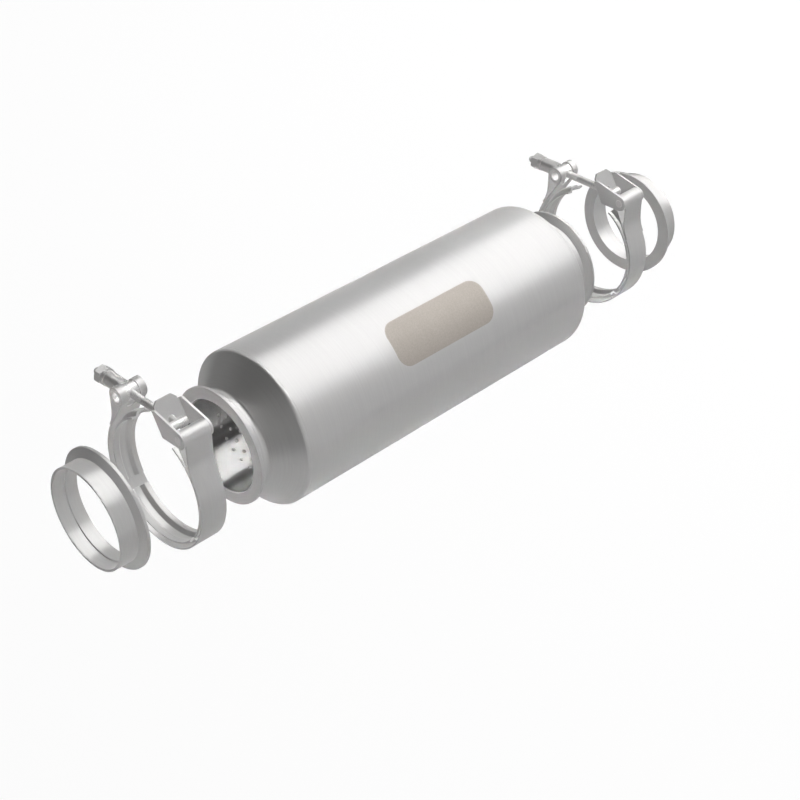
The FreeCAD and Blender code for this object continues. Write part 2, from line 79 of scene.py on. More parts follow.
class Tree:
    """Adds, sets and joins the nodes of one shader or geometry tree."""

    def __init__(self, tree: bpy.types.NodeTree) -> None:
        """Keeps the tree.

        Args:
            tree: The node tree to work on.
        """
        self.tree = tree
        self.column = 0

    def add(self, kind: str, **settings: object) -> bpy.types.Node:
        """Adds a node and sets its properties.

        Args:
            kind: Blender's name of the node type.
            settings: Node properties by name.

        Returns:
            The new node.
        """
        node = self.tree.nodes.new(kind)
        node.location = (NODE_STEP * self.column, 0)
        self.column += 1
        for name, value in settings.items():
            setattr(node, name, value)
        return node

    def feed(self, socket: Socket, value: object) -> None:
        """Links a socket to another, or gives it a constant.

        Args:
            socket: The input socket.
            value: An output socket, or a constant of the socket's type.
        """
        if isinstance(value, Socket):
            self.tree.links.new(value, socket)
        else:
            socket.default_value = value

    def math(self, operation: str, *values: object) -> Socket:
        """Adds a Math node.

        Args:
            operation: Blender's name of the operation.
            values: One to three sockets or numbers.

        Returns:
            The result socket.
        """
        node = self.add("ShaderNodeMath", operation=operation)
        for socket, value in zip(node.inputs, values):
            self.feed(socket, value)
        return node.outputs[0]

    def vector(self, operation: str, *values: object) -> bpy.types.Node:
        """Adds a Vector Math node.

        Args:
            operation: Blender's name of the operation.
            values: One to three sockets or vectors.

        Returns:
            The new node.
        """
        node = self.add("ShaderNodeVectorMath", operation=operation)
        for socket, value in zip(node.inputs, values):
            self.feed(socket, value)
        return node

    def combine(self, x: object, y: object, z: object) -> Socket:
        """Joins three values into a vector.

        Args:
            x: First value or socket.
            y: Second value or socket.
            z: Third value or socket.

        Returns:
            The vector socket.
        """
        node = self.add("ShaderNodeCombineXYZ")
        for socket, value in zip(node.inputs, (x, y, z)):
            self.feed(socket, value)
        return node.outputs[0]

    def split(self, vector: object) -> list[Socket]:
        """Splits a vector into its three values.

        Args:
            vector: The vector socket.

        Returns:
            The sockets of x, y and z.
        """
        node = self.add("ShaderNodeSeparateXYZ")
        self.feed(node.inputs[0], vector)
        return list(node.outputs)

    def ramp(self, value: object, low: float, high: float, to_low: float, to_high: float) -> Socket:
        """Maps a value smoothly from one range to another.

        Args:
            value: The input socket.
            low: Input value that gives to_low.
            high: Input value that gives to_high.
            to_low: Result at low.
            to_high: Result at high.

        Returns:
            The mapped value socket.
        """
        node = self.add("ShaderNodeMapRange", interpolation_type="SMOOTHSTEP")
        for index, item in enumerate((value, low, high, to_low, to_high)):
            self.feed(node.inputs[index], item)
        return node.outputs[0]

    def mix(self, factor: object, first: object, second: object) -> Socket:
        """Mixes two colours.

        Args:
            factor: Share of the second colour.
            first: Colour or socket at 0.
            second: Colour or socket at 1.

        Returns:
            The mixed colour socket.
        """
        node = self.add("ShaderNodeMix", data_type="RGBA")
        self.feed(node.inputs[0], factor)
        self.feed(node.inputs[MIX_FIRST], first)
        self.feed(node.inputs[MIX_SECOND], second)
        return node.outputs[MIX_RESULT]

    def noise(self, place: object, scale: object, detail: float) -> bpy.types.Node:
        """Adds a noise texture.

        Args:
            place: Vector socket that the pattern follows.
            scale: Scale of the pattern, a number or a socket.
            detail: Octaves of finer noise.

        Returns:
            The new node, whose first output is the noise from 0 to 1.
        """
        node = self.add("ShaderNodeTexNoise")
        self.feed(node.inputs["Vector"], place)
        self.feed(node.inputs["Scale"], scale)
        self.feed(node.inputs["Detail"], detail)
        return node


def new_group(
    name: str, inputs: dict[str, tuple[str, object]], outputs: dict[str, str]
) -> tuple[Tree, dict, dict]:
    """Starts a shader node group with named sockets.

    Args:
        name: Name of the group.
        inputs: Socket name to (kind, default); a default of None is left alone.
        outputs: Socket name to kind.

    Returns:
        The tree helper, the group's input sockets and its output sockets, by name.
    """
    group = bpy.data.node_groups.new(name, "ShaderNodeTree")
    for label, (kind, default) in inputs.items():
        socket = group.interface.new_socket(label, in_out="INPUT", socket_type="NodeSocket" + kind)
        if default is not None:
            socket.default_value = default
    for label, kind in outputs.items():
        group.interface.new_socket(label, in_out="OUTPUT", socket_type="NodeSocket" + kind)
    tree = Tree(group)
    entry = tree.add("NodeGroupInput")
    leave = tree.add("NodeGroupOutput")
    return tree, {n: entry.outputs[n] for n in inputs}, {n: leave.inputs[n] for n in outputs}


@dataclass
class Effects:
    """The shader effects that several finishes share, each built once.

    Args:
        turn_r: Radius at which a turn round the gas axis becomes a length, in metres.
        finer: How many times finer the second layer of lines is.
        fine_share: Share of that layer in the lines' height.
        line_edges: Heights of the lines at which their tone is 0 and 1.
        haze_size: Scale of the hazy patches.
        haze_bend: How far the patches are bent.
        haze_edges: Levels of the haze at which its mask is 0 and 1.
    """

    turn_r: float = 0.05
    finer: float = 3.7
    fine_share: float = 0.4
    line_edges: Pair = (0.3, 0.7)
    haze_size: float = 18.0
    haze_bend: float = 0.4
    haze_edges: Pair = (0.35, 0.68)

    def __post_init__(self) -> None:
        """Builds the groups."""
        self.round_place = self._round_place()
        self.lines = self._lines()
        self.haze = self._haze()

    def _round_place(self) -> bpy.types.NodeTree:
        """Builds the place on a turned piece: along the gas axis, out from it, and round it.

        Returns:
            The node group.
        """
        tree, given, out = new_group("Round Place", {"Place": ("Vector", None)}, {"Place": "Vector"})
        x, y, z = tree.split(given["Place"])
        squares = tree.math("ADD", tree.math("MULTIPLY", y, y), tree.math("MULTIPLY", z, z))
        radius = tree.math("SQRT", squares)
        turn = tree.math("ARCTAN2", z, y)
        tree.feed(out["Place"], tree.combine(x, radius, tree.math("MULTIPLY", turn, self.turn_r)))
        return tree.tree

    def _lines(self) -> bpy.types.NodeTree:
        """Builds fine drawn or turned lines: tone from 0 to 1, and a height for the bump.

        Returns:
            The node group.
        """
        tree, given, out = new_group(
            "Fine Lines",
            {"Place": ("Vector", None), "Lines": ("Vector", (1.0, 1.0, 1.0))},
            {"Tone": "Float", "Height": "Float"},
        )
        stretched = tree.vector("MULTIPLY", given["Place"], given["Lines"]).outputs[0]
        coarse = tree.noise(stretched, 1.0, detail=3.0).outputs[0]
        fine = tree.noise(stretched, self.finer, detail=1.0).outputs[0]
        coarse_part = tree.math("MULTIPLY", coarse, 1.0 - self.fine_share)
        height = tree.math("ADD", coarse_part, tree.math("MULTIPLY", fine, self.fine_share))
        tree.feed(out["Tone"], tree.ramp(height, *self.line_edges, 0.0, 1.0))
        tree.feed(out["Height"], height)
        return tree.tree

    def _haze(self) -> bpy.types.NodeTree:
        """Builds broad, soft patches left by handling and wiping.

        Returns:
            The node group.
        """
        tree, given, out = new_group(
            "Handling Haze",
            {"Place": ("Vector", None), "Size": ("Float", self.haze_size)},
            {"Mask": "Float"},
        )
        cloud = tree.noise(given["Place"], given["Size"], detail=2.0)
        cloud.inputs["Distortion"].default_value = self.haze_bend
        tree.feed(out["Mask"], tree.ramp(cloud.outputs[0], *self.haze_edges, 0.0, 1.0))
        return tree.tree


@dataclass(frozen=True)
class Steel:
    """A satin or bright stainless finish with fine lines.

    Args:
        name: Name of the material.
        tone: Grey level of the metal, linear.
        warmth: How much redder than blue the grey is.
        rough: Middle roughness.
        lay: Which way the lines run.
        per_metre: Lines per metre across the lay.
        contrast: Share of the tone that the lines change.
        depth: Height of the lines, in metres.
        metallic: Share of mirror-like metal; the rest scatters as a matt skin does.
        length_ratio: How many times longer than wide a line is.
        rough_below: How far the smoothest spots lie below the middle roughness.
        line_rough: Roughness that the palest lines add.
        haze_rough: Roughness that the haze adds.
        bump: Strength of the lines' bump.
    """

    name: str
    tone: float
    warmth: float = 0.012
    rough: float = 0.34
    lay: Lay = Lay.ROUND
    per_metre: float = 900.0
    contrast: float = 0.05
    depth: float = 0.00001
    metallic: float = 0.85
    length_ratio: float = 60.0
    rough_below: float = 0.04
    line_rough: float = 0.05
    haze_rough: float = 0.035
    bump: float = 0.35

    def colour(self, factor: float) -> Colour:
        """The metal's colour, lighter or darker by a factor."""
        level = self.tone * factor
        return (level * (1 + self.warmth), level, level * (1 - self.warmth), 1.0)

    def stretch(self) -> Triple:
        """Scales the line pattern along each of its three directions.

        Returns:
            The three scales, the smallest along the lay.
        """
        across = self.per_metre
        along = self.per_metre / self.length_ratio
        if self.lay is Lay.ACROSS:
            return (across, along, across)
        return (across, across, along)

    def material(self, effects: Effects) -> bpy.types.Material:
        """Builds the material.

        Args:
            effects: The shared shader groups.

        Returns:
            The finished material.
        """
        made = bpy.data.materials.new(self.name)
        made.use_nodes = True
        tree = Tree(made.node_tree)
        shader = made.node_tree.nodes["Principled BSDF"]
        place = tree.add("ShaderNodeTexCoord").outputs["Object"]
        laid = place
        if self.lay is Lay.ROUND:
            turned = tree.add("ShaderNodeGroup", node_tree=effects.round_place)
            tree.feed(turned.inputs["Place"], place)
            laid = turned.outputs["Place"]
        lines = tree.add("ShaderNodeGroup", node_tree=effects.lines)
        tree.feed(lines.inputs["Place"], laid)
        lines.inputs["Lines"].default_value = self.stretch()
        haze = tree.add("ShaderNodeGroup", node_tree=effects.haze)
        tree.feed(haze.inputs["Place"], place)
        colour = tree.mix(
            lines.outputs["Tone"], self.colour(1 - self.contrast), self.colour(1 + self.contrast)
        )
        smoothest = self.rough - self.rough_below
        rough = tree.math("MULTIPLY_ADD", lines.outputs["Tone"], self.line_rough, smoothest)
        rough = tree.math("MULTIPLY_ADD", haze.outputs["Mask"], self.haze_rough, rough)
        colour, rough = self.finish_extra(tree, place, colour, rough)
        bump = tree.add("ShaderNodeBump")
        bump.inputs["Strength"].default_value = self.bump
        bump.inputs["Distance"].default_value = self.depth
        tree.feed(bump.inputs["Height"], lines.outputs["Height"])
        tree.feed(shader.inputs["Base Color"], colour)
        tree.feed(shader.inputs["Roughness"], rough)
        tree.feed(shader.inputs["Normal"], bump.outputs[0])
        shader.inputs["Metallic"].default_value = self.metallic
        return made

    def finish_extra(
        self, tree: Tree, place: Socket, colour: Socket, rough: Socket
    ) -> tuple[Socket, Socket]:
        """Changes colour and roughness where a finish has more than lines.

        Args:
            tree: The material's tree.
            place: Object coordinates.
            colour: Colour so far.
            rough: Roughness so far.

        Returns:
            The colour and roughness to use.
        """
        return colour, rough


@dataclass(frozen=True)
class EtchedSteel(Steel):
    """Satin steel with a bare, etched field on one side.

    Args:
        centre_x: Middle of the field along the gas axis, in metres.
        centre_deg: Middle of the field round the body, from +Y towards +Z.
        body_r: Radius of the body, in metres.
        half_length: Half the field's length, in metres.
        half_height: Half the field's height along the surface, in metres.
        corner: Radius of the corners, in metres.
        edge: Half the width of the field's soft edge, in metres.
        speckle: Scale of the etched field's grain.
        dark: Colour of the grain's dark spots, linear.
        light: Colour of the grain's light spots, linear.
        extra_rough: How much rougher than the steel the field is.
    """

    centre_x: float = 0.0
    centre_deg: float = 135.6
    body_r: float = 0.0635
    half_length: float = 0.0522
    half_height: float = 0.0190
    corner: float = 0.0115
    edge: float = 0.0002
    speckle: float = 900.0
    dark: Colour = (0.28, 0.257, 0.232, 1.0)
    light: Colour = (0.37, 0.341, 0.31, 1.0)
    extra_rough: float = 0.22

    def finish_extra(
        self, tree: Tree, place: Socket, colour: Socket, rough: Socket
    ) -> tuple[Socket, Socket]:
        """Lays the etched field over the lines.

        Args:
            tree: The material's tree.
            place: Object coordinates.
            colour: Colour so far.
            rough: Roughness so far.

        Returns:
            The colour and roughness to use.
        """
        x, y, z = tree.split(place)
        turn = tree.math("SUBTRACT", tree.math("ARCTAN2", z, y), math.radians(self.centre_deg))
        along = tree.math("ABSOLUTE", tree.math("SUBTRACT", x, self.centre_x))
        round_it = tree.math("ABSOLUTE", tree.math("MULTIPLY", turn, self.body_r))
        past_x = tree.math("SUBTRACT", along, self.half_length - self.corner)
        past_turn = tree.math("SUBTRACT", round_it, self.half_height - self.corner)
        over_x = tree.math("MAXIMUM", past_x, 0.0)
        over_turn = tree.math("MAXIMUM", past_turn, 0.0)
        reach = tree.vector("LENGTH", tree.combine(over_x, over_turn, 0.0)).outputs["Value"]
        inside = tree.ramp(reach, self.corner - self.edge, self.corner + self.edge, 1.0, 0.0)
        grain = tree.noise(place, self.speckle, detail=2.0).outputs[0]
        etched = tree.mix(grain, self.dark, self.light)
        return tree.mix(inside, colour, etched), tree.math("MULTIPLY_ADD", inside, self.extra_rough, rough)


@dataclass(frozen=True)
class PaintedReflectionTubeSteel(Steel):
    """Bright steel with darker bands along the tube, a painted reflection: they stand for dark parts of the
    room mirrored in the bore.

    Args:
        bands_deg: Middle of each painted reflection band round the tube, from +Y towards +Z.
        half_width_deg: Half the width of a band.
        shade: Tone in the middle of a band, as a share of the plain tone.
    """

    bands_deg: tuple[float, ...] = (-37.0, -27.0, -95.0, 60.0, 130.0)
    half_width_deg: float = 14.0
    shade: float = 0.14

    def finish_extra(
        self, tree: Tree, place: Socket, colour: Socket, rough: Socket
    ) -> tuple[Socket, Socket]:
        """Lays the painted reflection bands over the lines.

        Args:
            tree: The material's tree.
            place: Object coordinates.
            colour: Colour so far.
            rough: Roughness so far.

        Returns:
            The colour and roughness to use.
        """
        _, y, z = tree.split(place)
        turn = tree.math("ARCTAN2", z, y)
        half_width = math.radians(self.half_width_deg)
        # Painted reflection: each band darkens the colour where the bore would mirror a dark part of the
        # room.
        reflection_bands = 0.0
        for middle in self.bands_deg:
            away = tree.math("ABSOLUTE", tree.math("SUBTRACT", turn, math.radians(middle)))
            reflection_bands = tree.math("MAXIMUM", tree.ramp(away, 0.0, half_width, 1.0, 0.0), reflection_bands)
        return tree.mix(reflection_bands, colour, self.colour(self.shade)), rough


@dataclass(frozen=True)
class ShadeDarkenedWool:
    """Glass fibre packing, pale in itself, painted dark here as painted shade for the inside of the core
    seen through its holes.

    Args:
        name: Name of the material.
        dark: Colour between the strands, darkened as painted shade, linear.
        light: Colour of the strands, darkened as painted shade, linear.
        strands: Scale of the strands along X, Y and Z.
        depth: Height of the strands, in metres.
        rough: Roughness.
    """

    name: str = "Glass fibre packing with painted shade"
    # Painted shade: both colours are far darker than pale glass fibre, for the shade inside the core.
    dark: Colour = (0.16, 0.155, 0.145, 1.0)
    light: Colour = (0.24, 0.233, 0.22, 1.0)
    strands: Triple = (300.0, 900.0, 900.0)
    depth: float = 0.0004
    rough: float = 0.95

    def material(self, effects: Effects) -> bpy.types.Material:
        """Builds the material.

        Args:
            effects: The shared shader groups.

        Returns:
            The finished material.
        """
        made = bpy.data.materials.new(self.name)
        made.use_nodes = True
        tree = Tree(made.node_tree)
        shader = made.node_tree.nodes["Principled BSDF"]
        strands = tree.add("ShaderNodeGroup", node_tree=effects.lines)
        tree.feed(strands.inputs["Place"], tree.add("ShaderNodeTexCoord").outputs["Object"])
        strands.inputs["Lines"].default_value = self.strands
        tree.feed(shader.inputs["Base Color"], tree.mix(strands.outputs["Tone"], self.dark, self.light))
        bump = tree.add("ShaderNodeBump")
        bump.inputs["Distance"].default_value = self.depth
        tree.feed(bump.inputs["Height"], strands.outputs["Height"])
        tree.feed(shader.inputs["Normal"], bump.outputs[0])
        shader.inputs["Roughness"].default_value = self.rough
        return made


@dataclass(frozen=True)
class Finishes:
    """Args:
        shell: The body shell, with its etched field.
        cap: The two end caps.
        flange: The body flanges and the weld flanges.
        core: The tube with the holes, with painted reflection bands in its bore.
        strap: The clamps' straps.
        retainer: The clamps' V-shaped retainers.
        turned: Trunnions, sleeves and hinge pins.
        bolt: Bolts and nuts.
        saddle: The clamps' saddles.
        wool: The packing, painted dark as shade.
    """

    shell: Steel
    cap: Steel = Steel("Spun end cap steel", tone=0.38, rough=0.36, per_metre=1400.0, contrast=0.04)
    flange: Steel = Steel("Machined flange steel", tone=0.38, rough=0.34, per_metre=2600.0, contrast=0.05)
    # Painted reflection: the core's colour carries dark bands that stand for reflections in its bore.
    core: Steel = PaintedReflectionTubeSteel(
        "Core steel with painted reflection bands", tone=0.27, rough=0.20, per_metre=500.0, contrast=0.03, metallic=0.95
    )
    strap: Steel = Steel("Clamp strap steel", tone=0.38, rough=0.36, per_metre=1600.0, contrast=0.04)
    retainer: Steel = Steel("Formed retainer steel", tone=0.38, rough=0.36, per_metre=1300.0, contrast=0.05)
    turned: Steel = Steel(
        "Turned fastener steel", tone=0.48, rough=0.30, lay=Lay.UPRIGHT, per_metre=2400.0, contrast=0.04
    )
    bolt: Steel = Steel(
        "Rolled bolt steel", tone=0.48, rough=0.30, lay=Lay.UPRIGHT, per_metre=2000.0, contrast=0.05
    )
    saddle: Steel = Steel(
        "Pressed saddle steel", tone=0.38, rough=0.36, lay=Lay.ACROSS, per_metre=1600.0, contrast=0.04
    )
    wool: ShadeDarkenedWool = ShadeDarkenedWool()

    def build(self) -> Materials:
        """Builds all the materials.

        Returns:
            The materials by field name.
        """
        effects = Effects()
        return {finish.name: getattr(self, finish.name).material(effects) for finish in fields(self)}


def dress(node: str, material: bpy.types.Material) -> None:
    """Gives a frame node one material.

    Args:
        node: Name of the node.
        material: The material for all of it.
    """
    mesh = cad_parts[node].data
    mesh.materials.clear()
    mesh.materials.append(material)
    log.info("%s: %s", node, material.name)


def new_piece(name: str, mesh: bpy.types.Mesh, body: str, slot: str, *nodes: str) -> None:
    """Makes a finished piece that stands for frame nodes.

    Args:
        name: Name of the piece.
        mesh: Its mesh, in the frame's place.
        body: Body that it moves with.
        slot: Not used.
        nodes: Frame nodes that it replaces.
    """
    made = bpy.data.objects.new(name, mesh)
    bpy.context.scene.collection.objects.link(made)
    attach(made, body)
    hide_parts(*nodes)
    log.info("%s: %d faces", name, len(mesh.polygons))


def smooth(mesh: bpy.types.Mesh, angle_deg: float) -> None:
    """Shades a mesh smooth, with edges over an angle left sharp.

    Args:
        mesh: The mesh.
        angle_deg: Edges that turn more than this stay sharp.
    """
    mesh.shade_smooth()
    work = bmesh.new()
    work.from_mesh(mesh)
    limit = math.radians(angle_deg)
    for edge in work.edges:
        edge.smooth = len(edge.link_faces) == 2 and edge.calc_face_angle(0.0) < limit
    work.to_mesh(mesh)
    work.free()


def lathe(points: list[Pair], steps: int, closed: bool = False) -> bmesh.types.BMesh:
    """Turns an open profile about the X axis.

    Args:
        points: Profile as (x, radius), in metres.
        steps: Segments round the axis.
        closed: Whether the profile's ends get a flat face each.

    Returns:
        The turned surface.
    """
    work = bmesh.new()
    turns = [2 * math.pi * i / steps for i in range(steps)]
    rings = []
    for x, radius in points:
        rings.append([work.verts.new((x, radius * math.cos(t), radius * math.sin(t))) for t in turns])
    for first, second in zip(rings, rings[1:]):
        for i in range(steps):
            j = (i + 1) % steps
            work.faces.new((first[i], first[j], second[j], second[i]))
    if closed:
        close_ends(work)
    return work


def close_ends(work: bmesh.types.BMesh) -> None:
    """Puts a flat face on each open end of a form."""
    bmesh.ops.holes_fill(work, edges=[e for e in work.edges if e.is_boundary], sides=0)


def add_part(whole: bmesh.types.BMesh, part: bmesh.types.BMesh) -> None:
    """Adds a form to another and frees it.

    Args:
        whole: The form that grows.
        part: The form to add. It is freed.
    """
    scrap = bpy.data.meshes.new("scrap")
    part.to_mesh(scrap)
    part.free()
    whole.from_mesh(scrap)
    bpy.data.meshes.remove(scrap)


class GeometryTree(Tree):
    """A geometry node tree with named inputs, run once on a carrier object."""

    def __init__(self, name: str, inputs: dict[str, tuple[str, object]]) -> None:
        """Starts the tree.

        Args:
            name: Name of the tree.
            inputs: Input name to (socket kind, value).
        """
        group = bpy.data.node_groups.new(name, "GeometryNodeTree")
        group.interface.new_socket("Geometry", in_out="INPUT", socket_type="NodeSocketGeometry")
        self.values = {}
        for label, (kind, value) in inputs.items():
            socket = group.interface.new_socket(label, in_out="INPUT", socket_type="NodeSocket" + kind)
            self.values[socket.identifier] = value
        group.interface.new_socket("Geometry", in_out="OUTPUT", socket_type="NodeSocketGeometry")
        super().__init__(group)
        self.given = self.add("NodeGroupInput").outputs
        self.leave = self.add("NodeGroupOutput").inputs

    def step(self, kind: str, geometry: object) -> bpy.types.Node:
        """Adds a node that takes the geometry as its first input.

        Args:
            kind: Blender's name of the node type.
            geometry: The geometry socket.

        Returns:
            The new node.
        """
        node = self.add(kind)
        self.feed(node.inputs[0], geometry)
        return node

    def roll(self, geometry: object, x: object, radius: object, turn: object) -> Socket:
        """Moves every point to its place round the X axis.

        Args:
            geometry: The geometry socket.
            x: Place along the axis.
            radius: Distance from the axis.
            turn: Angle round the axis, in radians from +Y towards +Z.

        Returns:
            The rolled geometry socket.
        """
        rolled = self.step("GeometryNodeSetPosition", geometry)
        y = self.math("MULTIPLY", radius, self.math("COSINE", turn))
        z = self.math("MULTIPLY", radius, self.math("SINE", turn))
        self.feed(rolled.inputs["Position"], self.combine(x, y, z))
        return rolled.outputs[0]

    def close(self, geometry: object) -> None:
        """Ends the tree: realizes instances and gives the material of the input "Steel".

        Args:
            geometry: The geometry socket to hand out.
        """
        whole = self.step("GeometryNodeRealizeInstances", geometry)
        steel = self.step("GeometryNodeSetMaterial", whole.outputs[0])
        self.feed(steel.inputs["Material"], self.given["Steel"])
        self.feed(self.leave[0], steel.outputs[0])

    def run(self, carried: bpy.types.Mesh) -> bpy.types.Mesh:
        """Runs the tree on a mesh and returns the result as a plain mesh.

        Args:
            carried: The mesh that goes in. It is deleted.

        Returns:
            The resulting mesh.
        """
        carrier = bpy.data.objects.new(carried.name, carried)
        bpy.context.scene.collection.objects.link(carrier)
        modifier = carrier.modifiers.new(self.tree.name, "NODES")
        modifier.node_group = self.tree
        for identifier, value in self.values.items():
            modifier[identifier] = value
        graph = bpy.context.evaluated_depsgraph_get()
        graph.update()
        result = bpy.data.meshes.new_from_object(carrier.evaluated_get(graph))
        carrier.modifiers.remove(modifier)
        bpy.data.objects.remove(carrier)
        bpy.data.meshes.remove(carried)
        return result


@dataclass
class PerforatedCore:
    """The core tube with its staggered rows of small holes.

    Args:
        around: Holes in one row.
        pitch: Distance between rows, in metres.
        hole_r: Radius of a hole, in metres.
        plain_end: Plain length at each end, in metres.
        wall: Thickness of the tube, in metres.
        cell_edges: Edges across one hole's cell, round the tube.
        merge: Points nearer than this become one, in metres.
        sharp_deg: Edges that turn more than this stay sharp.
        low: Low corner of the plain tube's box.
        high: High corner of the plain tube's box.
    """

    around: int = 23
    pitch: float = 6.7 * MM
    hole_r: float = 1.45 * MM
    plain_end: float = 24.2 * MM
    wall: float = 1.5 * MM
    cell_edges: int = 4
    merge: float = 0.005 * MM
    sharp_deg: float = 40.0
    low: Vector = field(default_factory=lambda: Vector(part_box("perforated_core")[0]))
    high: Vector = field(default_factory=lambda: Vector(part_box("perforated_core")[1]))

    @property
    def radius(self) -> float:
        """Outer radius of the tube."""
        return self.high.z

    @property
    def rows(self) -> int:
        """Rows of holes that fit between the plain ends."""
        return int((self.high.x - self.low.x - 2 * self.plain_end) / self.pitch)

    @property
    def start(self) -> float:
        """Where the first row's cells begin."""
        return (self.low.x + self.high.x - self.rows * self.pitch) / 2

    def cell(self) -> bpy.types.Mesh:
        """Makes one flat cell of tube wall with a round hole.

        Returns:
            The cell's two sides and its hole, with z going into the wall.
        """
        width = 2 * math.pi * self.radius / self.around
        shares = [i / self.cell_edges for i in range(self.cell_edges)]
        corners = [(share, 0.0) for share in shares] + [(1.0, 0.0), (1.0, 0.5)]
        corners += [(1.0 - share, 1.0) for share in shares] + [(0.0, 1.0), (0.0, 0.5)]
        work = bmesh.new()
        sides = []
        for depth in (0.0, self.wall):
            outer = []
            hole = []
            for u, v in corners:
                across = (u - 0.5) * width
                along = (v - 0.5) * self.pitch
                turn = math.atan2(along, across)
                hole_x = self.hole_r * math.sin(turn)
                hole_y = self.hole_r * math.cos(turn)
                outer.append(work.verts.new((along, across, depth)))
                hole.append(work.verts.new((hole_x, hole_y, depth)))
            sides.append((outer, hole))
        count = len(corners)
        for i in range(count):
            j = (i + 1) % count
            for outer, hole in sides:
                work.faces.new((outer[i], outer[j], hole[j], hole[i]))
            work.faces.new((sides[0][1][i], sides[0][1][j], sides[1][1][j], sides[1][1][i]))
        mesh = bpy.data.meshes.new("core_cell")
        work.to_mesh(mesh)
        work.free()
        return mesh

    def perforations(self, material: bpy.types.Material) -> bpy.types.Mesh:
        """Repeats the cell over a flat sheet and rolls the sheet into a tube.

        Args:
            material: The tube's material.

        Returns:
            The perforated length of tube, open at both ends.
        """
        tree = GeometryTree(
            "Perforated Tube",
            {
                "Around": ("Int", self.around),
                "Rows": ("Int", self.rows),
                "Row Pitch": ("Float", self.pitch),
                "Radius": ("Float", self.radius),
                "Start": ("Float", self.start),
                "Steel": ("Material", material),
            },
        )
        given = tree.given
        width = tree.math("DIVIDE", tree.math("MULTIPLY", given["Radius"], 2 * math.pi), given["Around"])
        points = tree.add("GeometryNodePoints")
        tree.feed(points.inputs["Count"], tree.math("MULTIPLY", given["Around"], given["Rows"]))
        index = tree.add("GeometryNodeInputIndex").outputs[0]
        row = tree.math("FLOOR", tree.math("DIVIDE", tree.math("ADD", index, 0.5), given["Around"]))
        place = tree.math("SUBTRACT", index, tree.math("MULTIPLY", row, given["Around"]))
        turned_row = tree.math("MODULO", tree.math("ADD", row, 1.0), 2.0)
        shifted = tree.math("MULTIPLY_ADD", turned_row, 0.5, place)
        along = tree.math("MULTIPLY_ADD", tree.math("ADD", row, 0.5), given["Row Pitch"], given["Start"])
        across = tree.math("MULTIPLY", shifted, width)
        tree.feed(points.inputs["Position"], tree.combine(along, across, 0.0))
        spread = tree.step("GeometryNodeInstanceOnPoints", points.outputs[0])
        tree.feed(spread.inputs["Instance"], given["Geometry"])
        flat = tree.step("GeometryNodeRealizeInstances", spread.outputs[0])
        x, y, depth = tree.split(tree.add("GeometryNodeInputPosition").outputs[0])
        turn = tree.math("DIVIDE", y, given["Radius"])
        radius = tree.math("SUBTRACT", given["Radius"], depth)
        tree.close(tree.roll(flat.outputs[0], x, radius, turn))
        return tree.run(self.cell())

    def build(self, materials: Materials) -> None:
        """Makes the whole tube and puts it in place of the plain one.
        """
        mesh = self.perforations(materials["core"])
        work = bmesh.new()
        work.from_mesh(mesh)
        inner = self.radius - self.wall
        end = self.start + self.rows * self.pitch
        for edge, joint in ((self.low.x, self.start), (self.high.x, end)):
            profile = [(joint, self.radius), (edge, self.radius), (edge, inner), (joint, inner)]
            add_part(work, lathe(profile, self.cell_edges * self.around))
        bmesh.ops.remove_doubles(work, verts=work.verts, dist=self.merge)
        bmesh.ops.recalc_face_normals(work, faces=work.faces)
        for face in work.faces:
            face.material_index = 0
        work.to_mesh(mesh)
        work.free()
        mesh.materials.clear()
        mesh.materials.append(materials["core"])
        smooth(mesh, self.sharp_deg)
        new_piece("core_with_holes", mesh, "muffler_kit", "core_steel", "perforated_core")


